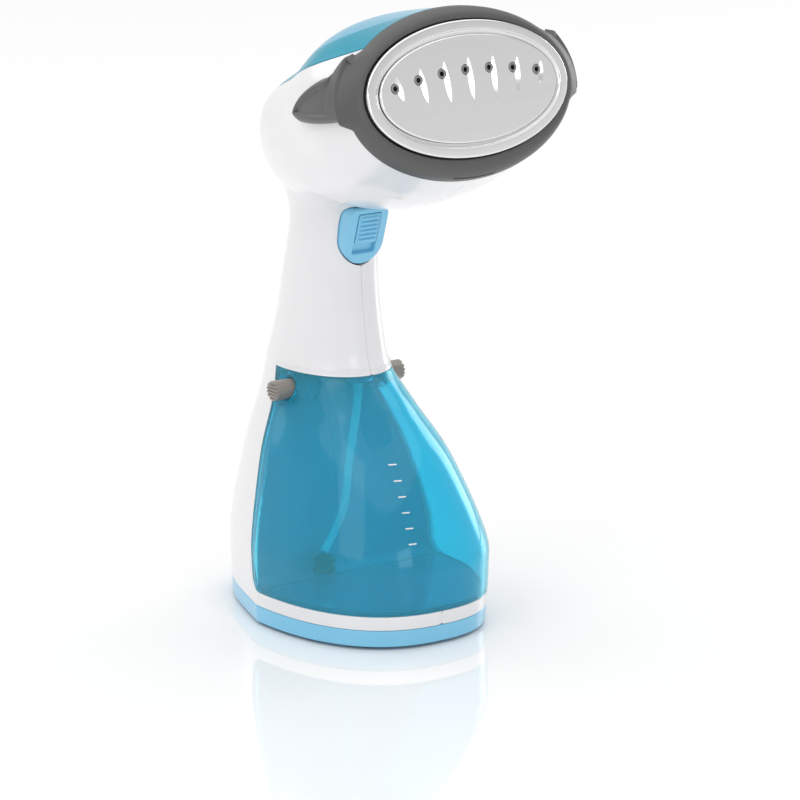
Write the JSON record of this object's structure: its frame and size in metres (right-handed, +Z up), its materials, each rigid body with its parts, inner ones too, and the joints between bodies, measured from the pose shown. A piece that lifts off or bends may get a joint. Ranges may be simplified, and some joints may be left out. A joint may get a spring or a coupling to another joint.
{
  "type": "handheld garment steamer",
  "caption": "Handheld garment steamer: flared detachable water tank on a rear column, slim grip with trigger, forward-leaning head with an oval steam plate.",
  "frame": {"origin": "middle of the bounding box, on the plane the feet stand on", "axes": "+Z up, -Y towards the front (the steam plate and tank), +X to the object's left as it faces the viewer's right"},
  "size_m": [0.1284, 0.1656, 0.2876],
  "materials": {
    "white_plastic": "glossy",
    "sky_plastic": "glossy",
    "teal_plastic": "glossy",
    "dark_grey_plastic": "satin",
    "tank_tint": "clear tinted",
    "button_grey": "glossy",
    "polished_steel": "polished",
    "spring_steel": "bright",
    "cast_aluminium": "as cast",
    "rubber": "matt",
    "pale_plastic": "satin",
    "silicone_hose": "satin",
    "black_plastic": "satin",
    "red_lead": "satin",
    "blue_lead": "satin"
  },
  "bodies": {
    "body": {"left_housing": "white_plastic", "right_housing": "white_plastic", "top_cover": "teal_plastic", "base_tray": "sky_plastic", "bezel_ring": "dark_grey_plastic", "steam_plate": "polished_steel", "coupling_seal": "rubber", "plate_gasket": "rubber", "cord_gland": "rubber", "pump_inlet_hose": "pale_plastic", "thermal_fuse": "pale_plastic", "steam_feed_hose": "silicone_hose", "pump": "black_plastic", "micro_switch": "black_plastic", "thermostat": "black_plastic", "steam_chamber": "cast_aluminium", "heating_element": "cast_aluminium", "supply_lead": "red_lead", "heater_lead": "blue_lead", "trigger_pin": "spring_steel", "trigger_spring": "spring_steel", "foot_1": "rubber", "base_screw_1": "spring_steel", "foot_2": "rubber", "base_screw_2": "spring_steel", "foot_3": "rubber", "base_screw_3": "spring_steel", "foot_4": "rubber", "base_screw_4": "spring_steel", "housing_screw_1": "spring_steel", "housing_screw_2": "spring_steel", "housing_screw_3": "spring_steel", "steam_nozzle_1": "cast_aluminium", "steam_nozzle_2": "cast_aluminium", "steam_nozzle_3": "cast_aluminium", "steam_nozzle_4": "cast_aluminium", "steam_nozzle_5": "cast_aluminium", "steam_nozzle_6": "cast_aluminium", "steam_nozzle_7": "cast_aluminium"},
    "tank": {"tank_shell": "tank_tint", "tank_back": "tank_tint", "tank_valve": "pale_plastic", "suction_hose": "pale_plastic", "suction_filter": "black_plastic", "release_spring_left": "spring_steel", "release_spring_right": "spring_steel"},
    "filler_plug": {"filler_plug": "rubber"},
    "release_button_left": {"release_button_left": "button_grey"},
    "release_button_right": {"release_button_right": "button_grey"},
    "trigger": {"trigger": "sky_plastic"},
    "trigger_lock": {"trigger_lock": "sky_plastic"}
  },
  "joints": [
    {"name": "tank_slide", "type": "slide", "parent": "body", "child": "tank", "axis": [0, -1, 0], "range_m": [0, 0.09]},
    {"name": "filler_plug_lift", "type": "slide", "parent": "tank", "child": "filler_plug", "axis": [0, 0, 1], "range_m": [0, 0.0055]},
    {"name": "release_button_left_press", "type": "slide", "parent": "tank", "child": "release_button_left", "axis": [1, 0, 0], "range_m": [0, 0.003], "stiffness_N_per_m": 600, "springref_m": -0.002, "deforming": ["release_spring_left"]},
    {"name": "release_button_right_press", "type": "slide", "parent": "tank", "child": "release_button_right", "axis": [-1, 0, 0], "range_m": [0, 0.003], "stiffness_N_per_m": 600, "springref_m": -0.002, "deforming": ["release_spring_right"]},
    {"name": "trigger_press", "type": "hinge", "parent": "body", "child": "trigger", "pos_m": [0, 0.011, 0.1665], "axis": [-1, 0, 0], "range_deg": [0, 6], "stiffness_Nm_per_rad": 1, "springref_deg": -3.44, "deforming": ["trigger_spring"]},
    {"name": "trigger_lock_slide", "type": "slide", "parent": "trigger", "child": "trigger_lock", "axis": [0, 0.2957, -0.9553], "range_m": [0, 0.0045]}
  ]
}
